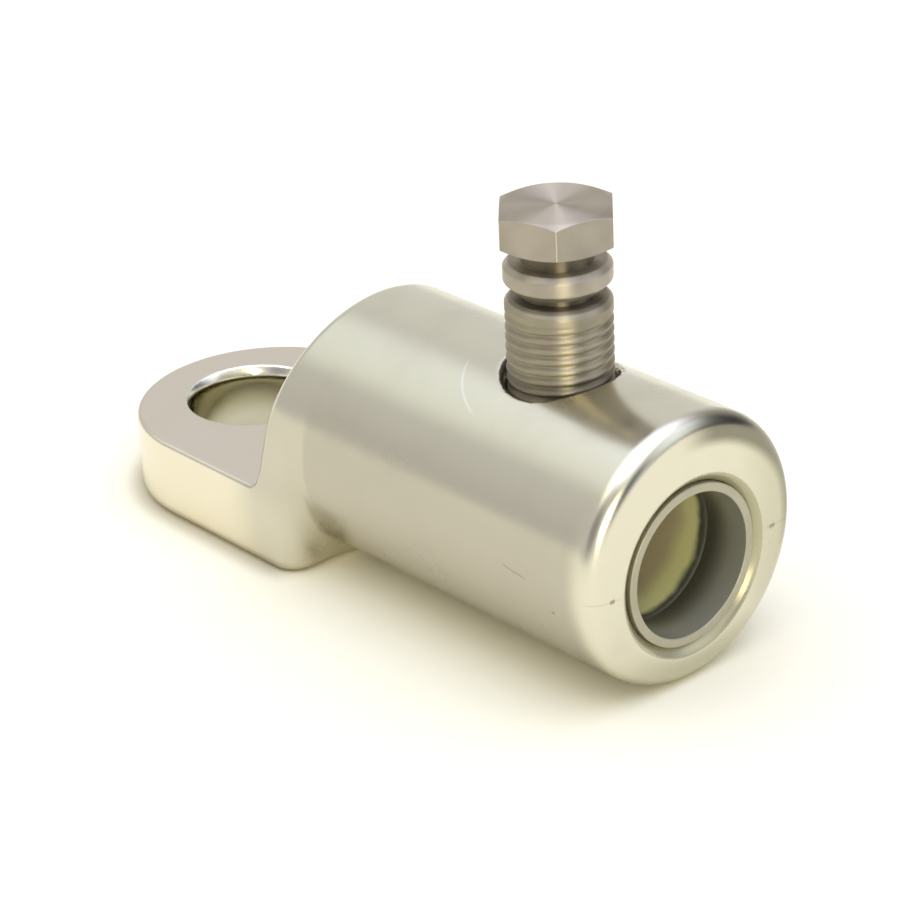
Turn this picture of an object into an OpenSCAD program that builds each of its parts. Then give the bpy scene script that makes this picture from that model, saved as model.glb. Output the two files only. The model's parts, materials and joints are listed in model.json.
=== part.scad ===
// Shear-bolt cable lug: a forged tinned body, a turned bolt that clamps the
// conductor, and a thin centring ring set into the mouth of the bore.
// Millimetres. The origin is the axis of the palm hole on the palm's underside,
// +X points out of the barrel's mouth and +Z along the bolt.

/* [Barrel] */
// Outside diameter of the barrel
barrel_d = 26; // [22:0.5:32]
// Barrel from its mouth to the foot of the shoulder on the palm
barrel_len = 46; // [40:0.5:60]
// Lean of the shoulder towards the mouth, in degrees from upright
shoulder_lean = 12.5; // [0:0.5:20]
// Rounding of the mouth's outer edge
mouth_round = 1.8; // [0.6:0.1:3]

/* [Conductor bore] */
// Diameter of the conductor bore
bore_d = 13.8; // [10:0.2:15]
// Drop of the bore's axis below the barrel's axis
bore_drop = 1.4; // [0:0.1:2]
// Depth of the full bore from the mouth
bore_depth = 36; // [28:0.5:38]
// Point angle of the drilled bottom
bore_point_angle = 118; // [90:1:150]
// Chamfer round the mouth
mouth_chamfer = 0.9; // [0.3:0.1:1.2]

/* [Centring ring] */
// Wall of the ring
ring_wall = 0.9; // [0.6:0.1:1.4]
// Length of the ring
ring_len = 4.9; // [3:0.1:7]
// Depth of the ring's front end below the barrel's mouth
ring_recess = 0.3; // [0:0.1:1]
// Chamfer on the ring's front edges
ring_chamfer = 0.2; // [0.1:0.05:0.25]

/* [Shear bolt] */
// Bolt's axis behind the barrel's mouth
bolt_setback = 16.6; // [14:0.1:20]
// Outside diameter of the bolt's thread
thread_d = 9.8; // [8:0.1:11]
// Thread that stands above the barrel
thread_proud = 7.2; // [6:0.1:10]
// Lead-in chamfer at the top of the thread
thread_chamfer = 0.6; // [0.2:0.1:0.8]
// Chamfer at the bolt's tip
tip_chamfer = 0.9; // [0.3:0.1:1.5]
// Gap from the tip up to the top of the bore
tip_gap = 0.1; // [0.05:0.05:0.5]
// Diameter of the necks where the bolt shears
neck_d = 6.6; // [5.6:0.1:7.6]
// Height of the neck between the thread and the collar
lower_neck_h = 0.85; // [0.5:0.05:1.2]
// Height of the neck under the head
upper_neck_h = 1.7; // [0.5:0.1:2.5]
// Diameter of the plain collar between the necks
collar_d = 9.9; // [8.4:0.1:11]
// Height of the plain collar
collar_h = 2.45; // [2:0.05:4]
// Chamfer on the collar's upper edge
collar_top_chamfer = 0.5; // [0.2:0.1:0.6]
// Chamfer on the collar's lower edge
collar_low_chamfer = 0.7; // [0.2:0.1:0.9]
// Hexagon head across its flats
head_af = 10; // [9:0.5:13]
// Diameter of the head's flat end faces
head_face_d = 9.8; // [8:0.1:12.5]
// Height of the head
head_h = 3.5; // [3:0.1:7]
// Drop of the head's turned edge at the hexagon's corners
head_edge_drop = 0.35; // [0.2:0.05:1]
// Turn of the hexagon about the bolt's axis, in degrees
head_turn = 16; // [0:1:60]

/* [Bolt hole] */
// Running clearance between the bolt and its hole, on the radius
bolt_clearance = 0.05; // [0.02:0.01:0.1]
// Width of the open gap round the bolt at the hole's mouth
hole_gap = 0.65; // [0.4:0.05:1.2]
// Depth of that gap below the barrel's crown
hole_gap_depth = 2.2; // [1.8:0.1:3]

/* [Palm] */
// Width of the palm
palm_w = 26.6; // [24:0.2:32]
// Thickness of the palm under its milled face
palm_t = 8.2; // [6:0.2:10]
// Diameter of the stud hole in the palm
palm_hole_d = 13; // [8.4:0.1:14]
// Edge break of the stud hole at the palm's upper face
palm_hole_chamfer = 0.5; // [0.2:0.1:1]
// Stud hole's axis behind the foot of the shoulder
palm_hole_setback = 16.2; // [13:0.1:24]
// Palm's end behind the stud hole's axis
palm_reach = 11.1; // [10:0.1:16]
// Rounding of the palm's lower edge
palm_edge_round = 1.2; // [0.4:0.1:2]
// Fillet at the foot of the shoulder
shoulder_fillet = 0.8; // [0.4:0.1:1.2]

/* [Heel] */
// Heel under the barrel, from the foot of the shoulder to its front face
heel_len = 5; // [3.5:0.1:8]
// Draw-in of each side of the heel at the height of the barrel's axis
heel_draw_in = 0.5; // [0.4:0.1:1.5]
// Rounding of the heel's front upright edges
heel_edge_round = 2.8; // [0.5:0.1:3]

/* [Hidden] */
$fn = 96;

// Overshoot of a cut past the face it opens
over = 1;
// Run of the head's turned edge, as a share of its reach from the end face to the corners
edge_run = 1.2;
// Seating clearance of the ring in its counterbore, on the radius
ring_seat = 0.02;

barrel_r = barrel_d / 2;
axis_z = barrel_r;
crown_z = barrel_d;
shoulder_x = palm_hole_setback;
mouth_x = shoulder_x + barrel_len;
bolt_x = mouth_x - bolt_setback;
palm_arc_x = palm_w / 2 - palm_reach;
heel_front_x = shoulder_x + heel_len;
heel_h = axis_z;

bore_r = bore_d / 2;
bore_z = axis_z - bore_drop;
bore_top_z = bore_z + bore_r;
bore_point_h = bore_r / tan(bore_point_angle / 2);
ring_od = bore_d + 2 * ring_wall;
ring_seat_r = ring_od / 2 + ring_seat;
ring_seat_depth = ring_recess + ring_len;

bolt_hole_r = thread_d / 2 + bolt_clearance;
hole_mouth_r = thread_d / 2 + hole_gap;
hole_mouth_z = crown_z - hole_gap_depth;

tip_z = bore_top_z + tip_gap;
thread_top_z = crown_z + thread_proud;
collar_z = thread_top_z + lower_neck_h;
collar_top_z = collar_z + collar_h;
head_z = collar_top_z + upper_neck_h;
head_corner_d = head_af / cos(30);
head_face_r = head_face_d / 2;
head_edge_r = head_face_r + edge_run * (head_corner_d / 2 - head_face_r);
head_edge_h = edge_run * head_edge_drop;

// Stands its children, drawn about the Z axis, on the X axis at a height above the palm's underside
module on_x_axis(x, z) {
    translate([x, 0, z])
        rotate([0, 90, 0])
            children();
}

// Carries a section drawn across the lug, with its height upwards, from x along the lug
module along_lug(x, length) {
    translate([x, 0, 0])
        rotate([90, 0, 90])
            linear_extrude(length)
                children();
}

// Forged section of palm and heel: rounded lower edges, and sides that draw in above the palm's face
module palm_section() {
    half = palm_w / 2;
    low = palm_edge_round;
    polygon([
        [-half, low],
        [low - half, 0],
        [half - low, 0],
        [half, low],
        [half, palm_t],
        [half - heel_draw_in, heel_h],
        [heel_draw_in - half, heel_h],
        [-half, palm_t]
    ]);
    for (side = [-1, 1])
        translate([side * (half - low), low])
            circle(r = low);
}

// Plan of the palm ahead of its round end, with the heel's front corners rounded
module palm_plan() {
    length = heel_front_x - palm_arc_x;
    half = palm_w / 2;
    translate([palm_arc_x, -half])
        square([length - heel_edge_round, palm_w]);
    translate([palm_arc_x, heel_edge_round - half])
        square([length, palm_w - 2 * heel_edge_round]);
    for (side = [-1, 1])
        translate([heel_front_x - heel_edge_round, side * (half - heel_edge_round)])
            circle(r = heel_edge_round);
}

// Forged palm and heel before the shoulder is cut
module palm_blank() {
    intersection() {
        along_lug(palm_arc_x, heel_front_x - palm_arc_x)
            palm_section();
        linear_extrude(heel_h)
            palm_plan();
    }
    translate([palm_arc_x, 0, 0])
        rotate_extrude()
            intersection() {
                palm_section();
                square([palm_w / 2, heel_h]);
            }
}

// Half profile of the barrel, with its axis upwards and its mouth at the top
module barrel_profile() {
    square([barrel_r, barrel_len - mouth_round]);
    square([barrel_r - mouth_round, barrel_len]);
    translate([barrel_r - mouth_round, barrel_len - mouth_round])
        circle(r = mouth_round);
}

module barrel_blank() {
    on_x_axis(shoulder_x, axis_z)
        rotate_extrude()
            barrel_profile();
}

// Cut that shapes the palm's upper face and the leaning shoulder, with a fillet between them
module shoulder_cut() {
    reach = shoulder_x + palm_reach + over;
    rise = barrel_d;
    tangent = shoulder_fillet / tan((90 + shoulder_lean) / 2);
    translate([0, palm_w, 0])
        rotate([90, 0, 0])
            linear_extrude(2 * palm_w)
                translate([shoulder_x, palm_t]) {
                    polygon([
                        [-reach, 0],
                        [-tangent, 0],
                        [tangent * sin(shoulder_lean), tangent * cos(shoulder_lean)],
                        [rise * tan(shoulder_lean), rise],
                        [-reach, rise]
                    ]);
                    translate([-tangent, shoulder_fillet])
                        circle(r = shoulder_fillet);
                }
}

// Drilled conductor bore with its counterbore for the ring and its chamfered mouth
module bore_cut() {
    on_x_axis(mouth_x - bore_depth, bore_z)
        cylinder(h = bore_depth + over, r = bore_r);
    on_x_axis(mouth_x - bore_depth - bore_point_h, bore_z)
        cylinder(h = bore_point_h, r1 = 0, r2 = bore_r);
    on_x_axis(mouth_x - ring_seat_depth, bore_z)
        cylinder(h = ring_seat_depth + over, r = ring_seat_r);
    on_x_axis(mouth_x - mouth_chamfer, bore_z)
        cylinder(h = mouth_chamfer + over, r1 = ring_seat_r, r2 = ring_seat_r + mouth_chamfer + over);
}

// Bolt hole from the crown into the bore, opened to a gap round the bolt at its mouth
module bolt_hole_cut() {
    translate([bolt_x, 0, bore_z])
        cylinder(h = crown_z + over - bore_z, r = bolt_hole_r);
    translate([bolt_x, 0, hole_mouth_z - hole_gap])
        cylinder(h = hole_gap, r1 = bolt_hole_r, r2 = hole_mouth_r);
    translate([bolt_x, 0, hole_mouth_z])
        cylinder(h = hole_gap_depth + over, r = hole_mouth_r);
}

// Stud hole with its upper edge broken
module palm_hole_cut() {
    r = palm_hole_d / 2;
    wide = palm_hole_chamfer + over;
    translate([0, 0, -over])
        cylinder(h = palm_t + 2 * over, r = r);
    translate([0, 0, palm_t - palm_hole_chamfer])
        cylinder(h = wide, r1 = r, r2 = r + wide);
}

module lug_body() {
    color([0.80, 0.78, 0.70])
        difference() {
            union() {
                barrel_blank();
                palm_blank();
            }
            shoulder_cut();
            bore_cut();
            bolt_hole_cut();
            palm_hole_cut();
        }
}

module centring_ring() {
    inner = bore_r;
    outer = ring_od / 2;
    edge = ring_chamfer;
    color([0.62, 0.60, 0.53])
        on_x_axis(mouth_x - ring_seat_depth, bore_z)
            rotate_extrude()
                polygon([
                    [inner, 0],
                    [outer, 0],
                    [outer, ring_len - edge],
                    [outer - edge, ring_len],
                    [inner + edge, ring_len],
                    [inner, ring_len - edge]
                ]);
}

// Turned shank of the bolt: thread, two shear necks and the collar between them
module bolt_shank() {
    thread_r = thread_d / 2;
    collar_r = collar_d / 2;
    neck_r = neck_d / 2;
    translate([bolt_x, 0, 0])
        rotate_extrude()
            polygon([
                [0, tip_z],
                [thread_r - tip_chamfer, tip_z],
                [thread_r, tip_z + tip_chamfer],
                [thread_r, thread_top_z - thread_chamfer],
                [thread_r - thread_chamfer, thread_top_z],
                [neck_r, thread_top_z],
                [neck_r, collar_z],
                [collar_r - collar_low_chamfer, collar_z],
                [collar_r, collar_z + collar_low_chamfer],
                [collar_r, collar_top_z - collar_top_chamfer],
                [collar_r - collar_top_chamfer, collar_top_z],
                [neck_r, collar_top_z],
                [neck_r, head_z],
                [0, head_z]
            ]);
}

// Hexagon head whose corners are turned off at both ends
module bolt_head() {
    translate([bolt_x, 0, head_z])
        rotate([0, 0, head_turn])
            intersection() {
                cylinder(h = head_h, d = head_corner_d, $fn = 6);
                rotate_extrude()
                    polygon([
                        [0, 0],
                        [head_face_r, 0],
                        [head_edge_r, head_edge_h],
                        [head_edge_r, head_h - head_edge_h],
                        [head_face_r, head_h],
                        [0, head_h]
                    ]);
            }
}

module shear_bolt() {
    color([0.66, 0.61, 0.54])
        union() {
            bolt_shank();
            bolt_head();
        }
}

lug_body();
centring_ring();
shear_bolt();
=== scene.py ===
"""Looks of a shear-bolt cable lug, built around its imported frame.

Shapes are worked out in millimetres, along the frame's own axes, and go into the meshes in metres.
"""

import json
import logging
from collections.abc import Callable
from dataclasses import dataclass
from enum import Enum
from functools import reduce

import bpy
import numpy as np
from mathutils import Matrix, Vector


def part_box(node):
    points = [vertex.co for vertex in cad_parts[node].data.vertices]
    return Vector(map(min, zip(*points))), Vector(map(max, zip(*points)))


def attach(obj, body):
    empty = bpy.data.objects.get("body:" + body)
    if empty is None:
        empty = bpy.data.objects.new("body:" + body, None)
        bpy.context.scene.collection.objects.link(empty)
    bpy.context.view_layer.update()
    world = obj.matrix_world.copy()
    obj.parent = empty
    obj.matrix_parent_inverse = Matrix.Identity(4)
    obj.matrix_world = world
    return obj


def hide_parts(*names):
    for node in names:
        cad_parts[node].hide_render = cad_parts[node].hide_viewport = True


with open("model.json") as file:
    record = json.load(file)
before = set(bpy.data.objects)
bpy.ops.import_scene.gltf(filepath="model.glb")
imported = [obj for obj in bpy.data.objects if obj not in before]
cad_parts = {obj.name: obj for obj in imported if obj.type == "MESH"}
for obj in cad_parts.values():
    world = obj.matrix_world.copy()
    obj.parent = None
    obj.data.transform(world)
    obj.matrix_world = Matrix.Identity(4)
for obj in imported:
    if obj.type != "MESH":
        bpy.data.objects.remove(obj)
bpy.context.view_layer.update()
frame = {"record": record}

MM = 0.001
Array = np.ndarray
Colour = tuple[float, float, float]
Corner = tuple[float, float, float]
Field = Callable[[Array, Array, Array], Array]
Socket = bpy.types.NodeSocket
Feed = Socket | float | tuple[float, ...] | Vector
log = logging.getLogger("lug")


def mount(name: str) -> dict:
    """Find one of the record's mounts.

    Args:
        name: The mount's name.

    Returns:
        The mount as the record states it.
    """
    return next(m for m in frame["record"]["mounts"] if m["name"] == name)


def node_box(node: str) -> tuple[Array, Array]:
    """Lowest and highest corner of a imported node, in millimetres."""
    low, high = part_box(node)
    return np.array(low) / MM, np.array(high) / MM


def smooth_step(low: float, high: float, value: Array) -> Array:
    """Ease from 0 at low to 1 at high: 3 t squared less 2 t cubed, with t clipped to 0 and 1."""
    t = np.clip((value - low) / (high - low), 0.0, 1.0)
    return t * t * (3.0 - 2.0 * t)


def round_max(a: Array, b: Array, radius: Array | float) -> Array:
    """Meet of two distance fields with its edge rounded.

    Within a radius of both faces the edge is the arc at that radius: the length of (a + r, b + r) less r.

    Args:
        a: Distance from the first face, negative inside.
        b: Distance from the second face, negative inside.
        radius: Radius of the rounded edge.

    Returns:
        Distance from the rounded solid.
    """
    arc = np.hypot(np.maximum(a + radius, 0.0), np.maximum(b + radius, 0.0))
    return np.minimum(np.maximum(a, b), -radius) + arc


def round_min(a: Array, b: Array, radius: Array | float) -> Array:
    """Union of two distance fields with a fillet: the rounded meet of their outsides, turned inside out."""
    return -round_max(-a, -b, radius)


def new_mesh(name: str, points: Array, faces: list[Array], normals: Array | None = None) -> bpy.types.Object:
    """Put points and faces into a smooth mesh object at the origin.

    Args:
        name: Name of the piece.
        points: Points in millimetres, one row each.
        faces: Arrays of point numbers, one row per face, each array with its own number of corners.
        normals: Outward normals at the points, or none to let the mesh work them out.

    Returns:
        The linked object.
    """
    mesh = bpy.data.meshes.new(name)
    corners = np.concatenate([f.ravel() for f in faces]).astype(np.int32)
    sides = np.concatenate([np.full(len(f), f.shape[1]) for f in faces])
    starts = np.concatenate([[0], np.cumsum(sides)[:-1]]).astype(np.int32)
    mesh.vertices.add(len(points))
    mesh.vertices.foreach_set("co", (points * MM).astype(np.float32).ravel())
    mesh.loops.add(len(corners))
    mesh.loops.foreach_set("vertex_index", corners)
    mesh.polygons.add(len(starts))
    mesh.polygons.foreach_set("loop_start", starts)
    mesh.polygons.foreach_set("use_smooth", np.ones(len(starts), bool))
    mesh.update(calc_edges=True)
    mesh.validate()
    if normals is not None:
        mesh.normals_split_custom_set_from_vertices(normals.astype(np.float32))
    piece = bpy.data.objects.new(name, mesh)
    bpy.context.scene.collection.objects.link(piece)
    return piece


def stand_for(piece: bpy.types.Object, node: str, body: str) -> bpy.types.Object:
    """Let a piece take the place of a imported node.

    Args:
        piece: The piece.
        node: The node that it replaces.
        body: The body that it rides on.

    Returns:
        The piece.
    """
    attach(piece, body)
    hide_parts(node)
    return piece


def ring_faces(rows: int, columns: int) -> Array:
    """Quads of a grid whose last column joins its first.

    Args:
        rows: Rings of points.
        columns: Points in each ring, in the turning sense of the axis.

    Returns:
        Point numbers of the quads, facing outwards where the rings climb along the axis.
    """
    row, column = np.meshgrid(np.arange(rows - 1), np.arange(columns), indexing="ij")
    beside = (column + 1) % columns
    quads = [row * columns + column, row * columns + beside,
             (row + 1) * columns + beside, (row + 1) * columns + column]
    return np.stack(quads, axis=-1).reshape(-1, 4)


def fan_faces(centre: int, first: int, columns: int, upwards: bool) -> Array:
    """Triangles that close a ring of points on a centre point.

    Args:
        centre: Number of the centre point.
        first: Number of the ring's first point.
        columns: Points in the ring.
        upwards: Whether the cap faces along the axis.

    Returns:
        Point numbers of the triangles.
    """
    here = first + np.arange(columns)
    beside = first + (np.arange(columns) + 1) % columns
    hub = np.full(columns, centre)
    return np.stack([hub, here, beside] if upwards else [hub, beside, here], axis=-1)


def rounded_profile(points: list[Corner], steps: int = 4) -> Array:
    """Outline through corners, each turned into an arc.

    The arc at a corner is the quadratic curve that leaves one side and joins the next, both at the
    corner's own setback.

    Args:
        points: Corners as (radius, height, setback of the rounding).
        steps: Points along each arc.

    Returns:
        Points of the outline, two columns.
    """
    corners = np.array(points, float)
    out = [corners[0, :2]]
    t = np.linspace(0.0, 1.0, steps)[:, None]
    for before, here, after in zip(corners[:-2], corners[1:-1], corners[2:]):
        back, on = before[:2] - here[:2], after[:2] - here[:2]
        start = here[:2] + back / np.hypot(*back) * here[2]
        end = here[:2] + on / np.hypot(*on) * here[2]
        out.extend((1 - t) ** 2 * start + 2 * t * (1 - t) * here[:2] + t ** 2 * end)
    out.append(corners[-1, :2])
    return np.array(out)


@dataclass
class SurfaceNet:
    """Closed skin of a distance field on a grid of planes.

    Each grid cell that the skin crosses gets one point, the mean of the crossings on the cell's edges,
    and each crossed grid edge gets the quad of the four cells around it. The points then move along the
    field's slope onto the skin.

    Attributes:
        planes: Places of the grid planes along X, Y and Z.
        settle: Times that the points are moved onto the skin.
        probe: Half the step that measures the field's slope.
        stride: Longest move of a point in one of those times.
        least: Least square of a slope that a move is worked out with.
    """

    planes: tuple[Array, Array, Array]
    settle: int = 5
    probe: float = 0.004
    stride: float = 0.3
    least: float = 0.05

    def skin(self, distance: Field) -> tuple[Array, Array, Array]:
        """Work out the skin.

        Args:
            distance: Gives the distance from the skin at places x, y and z, negative inside.

        Returns:
            Points, quads and outward normals.
        """
        values = distance(*np.meshgrid(*self.planes, indexing="ij", sparse=True))
        inside = values < 0
        shape = np.array(values.shape) - 1
        count = np.zeros(shape, np.int8)
        for corner in np.ndindex(2, 2, 2):
            count += inside[tuple(slice(c, c + n) for c, n in zip(corner, shape))]
        cells = np.argwhere((count > 0) & (count < 8))
        number = np.full(shape, -1, np.int64)
        number[tuple(cells.T)] = np.arange(len(cells))
        points = self._cell_points(values, cells)
        quads = np.concatenate([self._axis_quads(inside, number, axis) for axis in range(3)])
        for _ in range(self.settle):
            slope = self.slope(distance, points)
            gap = distance(*points.T) / np.maximum((slope ** 2).sum(1), self.least)
            points = points - np.clip(gap, -self.stride, self.stride)[:, None] * slope
        slope = self.slope(distance, points)
        return points, quads, slope / np.linalg.norm(slope, axis=1, keepdims=True)

    def slope(self, distance: Field, points: Array) -> Array:
        """Slope of the field, from differences over a short step each way.

        Args:
            distance: The field.
            points: Points in millimetres, one row each.

        Returns:
            The slope at each point.
        """
        steps = np.eye(3) * self.probe
        rise = [distance(*(points + s).T) - distance(*(points - s).T) for s in steps]
        return np.stack(rise, axis=1) / (2 * self.probe)

    def _cell_points(self, values: Array, cells: Array) -> Array:
        """Mean of the crossings on the edges of each cell.

        Args:
            values: The field on the grid.
            cells: Lowest corner of each crossed cell, as grid numbers.

        Returns:
            One point per cell.
        """
        total = np.zeros((len(cells), 3))
        hits = np.zeros(len(cells))
        for axis in range(3):
            along = np.eye(3, dtype=int)[axis]
            for a, b in np.ndindex(2, 2):
                low = cells + np.insert([a, b], axis, 0)
                high = low + along
                f_low, f_high = values[tuple(low.T)], values[tuple(high.T)]
                crossed = (f_low < 0) != (f_high < 0)
                share = np.where(crossed, f_low / np.where(crossed, f_low - f_high, 1.0), 0.0)
                start = np.stack([p[i] for p, i in zip(self.planes, low.T)], axis=1)
                end = np.stack([p[i] for p, i in zip(self.planes, high.T)], axis=1)
                total += np.where(crossed[:, None], start + share[:, None] * (end - start), 0.0)
                hits += crossed
        return total / hits[:, None]

    @staticmethod
    def _axis_quads(inside: Array, number: Array, axis: int) -> Array:
        """Quads around the crossed grid edges along one axis.

        Args:
            inside: Whether each grid point is inside.
            number: Number of each cell's point.
            axis: The axis that the edges run along.

        Returns:
            Point numbers of the quads, facing outwards.
        """
        turned = np.moveaxis(inside, axis, 0)
        cell = np.moveaxis(number, axis, 0)
        i, j, k = np.nonzero(turned[:-1, 1:-1, 1:-1] != turned[1:, 1:-1, 1:-1])
        around = [cell[i, j, k], cell[i, j + 1, k], cell[i, j + 1, k + 1], cell[i, j, k + 1]]
        quads = np.stack(around, axis=1)
        leaving = turned[i, j + 1, k + 1]
        outward = leaving if axis != 1 else ~leaving
        return np.where(outward[:, None], quads, quads[:, ::-1])


@dataclass(frozen=True)
class Fade:
    """An eased step of a mask, set off from an edge and counted in a unit that its user gives.

    Attributes:
        start: Where the step starts.
        end: Where the step ends.
        least: The mask before the start.
        most: The mask past the end.
    """

    start: float
    end: float
    least: float = 0.0
    most: float = 1.0


class Effect(Enum):
    """Shader node groups that the finishes share, with the names of their inputs.

    CLOUD eases a noise between two levels into a mask. GRAIN adds a fine noise to a stretched one, as a
    height. STROKE marks a bowed line that spans -1 to 1 along x, is 1 to each side along y and 1 deep
    along z.
    """

    CLOUD = ("Vector", "Scale", "Low", "High")
    GRAIN = ("Vector", "Scale", "Streaks", "Stretch")
    STROKE = ("Vector", "Bow")


VECTOR_INPUTS = ("Vector", "Stretch")
CLOUD_DETAIL = 4.0
GRAIN_DETAIL = 2.0
STROKE_ACROSS = Fade(0.25, 1.0, 1.0, 0.0)
STROKE_ALONG = Fade(0.6, 1.0, 1.0, 0.0)
STROKE_DEEP = Fade(0.9, 1.0, 1.0, 0.0)


@dataclass
class NodeBoard:
    """A node tree under construction."""

    tree: bpy.types.NodeTree

    def add(self, kind: str, **settings: object) -> bpy.types.Node:
        """Add a node and set its properties.

        Args:
            kind: The node's type.
            settings: Properties of the node.

        Returns:
            The node.
        """
        node = self.tree.nodes.new(kind)
        for name, value in settings.items():
            setattr(node, name, value)
        return node

    def put(self, source: Feed, target: Socket) -> None:
        """Link a socket to an input, or set the input to a plain value.

        Args:
            source: The socket or the value.
            target: The input.
        """
        if isinstance(source, Socket):
            self.tree.links.new(source, target)
        else:
            target.default_value = source

    def fill(self, node: bpy.types.Node, *sources: Feed) -> Socket:
        """Feed a node's inputs in their order.

        Args:
            node: The node.
            sources: Sockets or values.

        Returns:
            The node's first output.
        """
        for source, target in zip(sources, node.inputs):
            self.put(source, target)
        return node.outputs[0]

    def feed(self, node: bpy.types.Node, **sources: Feed) -> bpy.types.Node:
        """Feed a node's inputs by name.

        Args:
            node: The node.
            sources: Sockets or values, named after the inputs with underscores for spaces.

        Returns:
            The node.
        """
        for name, source in sources.items():
            self.put(source, node.inputs[name.replace("_", " ")])
        return node

    def math(self, operation: str, *values: Feed) -> Socket:
        """Result of a Math node."""
        return self.fill(self.add("ShaderNodeMath", operation=operation), *values)

    def meet(self, *masks: Feed) -> Socket:
        """Product of masks."""
        return reduce(lambda first, second: self.math("MULTIPLY", first, second), masks)

    def length(self, a: Socket, b: Socket) -> Socket:
        """Length of a two-part vector: the root of the sum of squares."""
        return self.math("SQRT", self.math("ADD", self.meet(a, a), self.meet(b, b)))

    def ramp(self, value: Socket, low: Feed, high: Feed,
             to_low: float = 0.0, to_high: float = 1.0) -> Socket:
        """Value eased from the range of low to high into that of to_low to to_high."""
        node = self.add("ShaderNodeMapRange", interpolation_type="SMOOTHSTEP")
        return self.fill(node, value, low, high, to_low, to_high)

    def fade(self, value: Socket, step: Fade, edge: float = 0.0, unit: float = 1.0) -> Socket:
        """Mask that a step gives, where the step is counted in a unit from an edge."""
        return self.ramp(value, edge + unit * step.start, edge + unit * step.end, step.least, step.most)

    def mix(self, share: Feed, first: Feed, second: Feed) -> Socket:
        """Mix two colours.

        Args:
            share: Share of the second colour.
            first: The first colour.
            second: The second colour.

        Returns:
            The mixed colour.
        """
        node = self.add("ShaderNodeMix", data_type="RGBA")
        inputs = {socket.identifier: socket for socket in node.inputs}
        for name, value in (("Factor_Float", share), ("A_Color", first), ("B_Color", second)):
            self.put((*value, 1.0) if isinstance(value, tuple) else value, inputs[name])
        return next(socket for socket in node.outputs if socket.identifier == "Result_Color")

    def noise(self, vector: Socket, scale: Feed, detail: float) -> Socket:
        """Value of a noise texture."""
        node = self.add("ShaderNodeTexNoise")
        return self.feed(node, Vector=vector, Scale=scale, Detail=detail).outputs["Fac"]

    def stretch(self, vector: Socket, scale: Feed) -> Socket:
        """Vector multiplied part by part."""
        return self.fill(self.add("ShaderNodeVectorMath", operation="MULTIPLY"), vector, scale)

    def apart(self, vector: Socket) -> tuple[Socket, ...]:
        """Split a vector into x, y and z."""
        return tuple(self.feed(self.add("ShaderNodeSeparateXYZ"), Vector=vector).outputs)

    def together(self, x: Feed, y: Feed, z: Feed) -> Socket:
        """Join x, y and z into a vector."""
        return self.fill(self.add("ShaderNodeCombineXYZ"), x, y, z)

    def effect(self, effect: Effect, **inputs: Feed) -> Socket:
        """Output of a shared effect that is fed by name."""
        node = self.add("ShaderNodeGroup", node_tree=shared_effect(effect))
        return self.feed(node, **inputs).outputs[0]


def shared_effect(effect: Effect) -> bpy.types.NodeTree:
    """Find a shared effect, or build it the first time.

    Args:
        effect: The effect.

    Returns:
        Its node group.
    """
    group = effect.name.lower()
    known = bpy.data.node_groups.get(group)
    if known:
        return known
    tree = bpy.data.node_groups.new(group, "ShaderNodeTree")
    for name in effect.value:
        kind = "NodeSocketVector" if name in VECTOR_INPUTS else "NodeSocketFloat"
        tree.interface.new_socket(name, in_out="INPUT", socket_type=kind)
    tree.interface.new_socket("Value", in_out="OUTPUT", socket_type="NodeSocketFloat")
    board = NodeBoard(tree)
    given = board.add("NodeGroupInput").outputs
    place = given["Vector"]
    if effect is Effect.CLOUD:
        value = board.ramp(board.noise(place, given["Scale"], CLOUD_DETAIL), given["Low"], given["High"])
    elif effect is Effect.GRAIN:
        fine = board.noise(place, given["Scale"], GRAIN_DETAIL)
        streaks = board.noise(board.stretch(place, given["Stretch"]), given["Scale"], GRAIN_DETAIL)
        value = board.math("MULTIPLY_ADD", streaks, given["Streaks"], fine)
    else:
        x, y, z = board.apart(place)
        bow = board.meet(given["Bow"], board.math("SUBTRACT", 1.0, board.meet(x, x)))
        ways = ((board.math("SUBTRACT", y, bow), STROKE_ACROSS), (x, STROKE_ALONG), (z, STROKE_DEEP))
        value = board.meet(*(board.fade(board.math("ABSOLUTE", way), step) for way, step in ways))
    board.put(value, board.add("NodeGroupOutput").inputs[0])
    return tree


@dataclass(frozen=True)
class Cloud:
    """Soft patches: the noise's scale per millimetre, and the levels that the patches fade between."""

    scale: float
    low: float
    high: float


@dataclass(frozen=True)
class Grain:
    """Fine relief with streaks.

    Attributes:
        scale: Scale of the noise, per millimetre.
        streaks: Height of the streaks over that of the noise.
        stretch: Scale of the streaks along each axis over that of the noise.
        strength: Strength of the bump.
        height: Height in millimetres that a value of 1 stands for.
    """

    scale: float
    streaks: float
    stretch: tuple[float, float, float]
    strength: float
    height: float = 0.1


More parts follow.
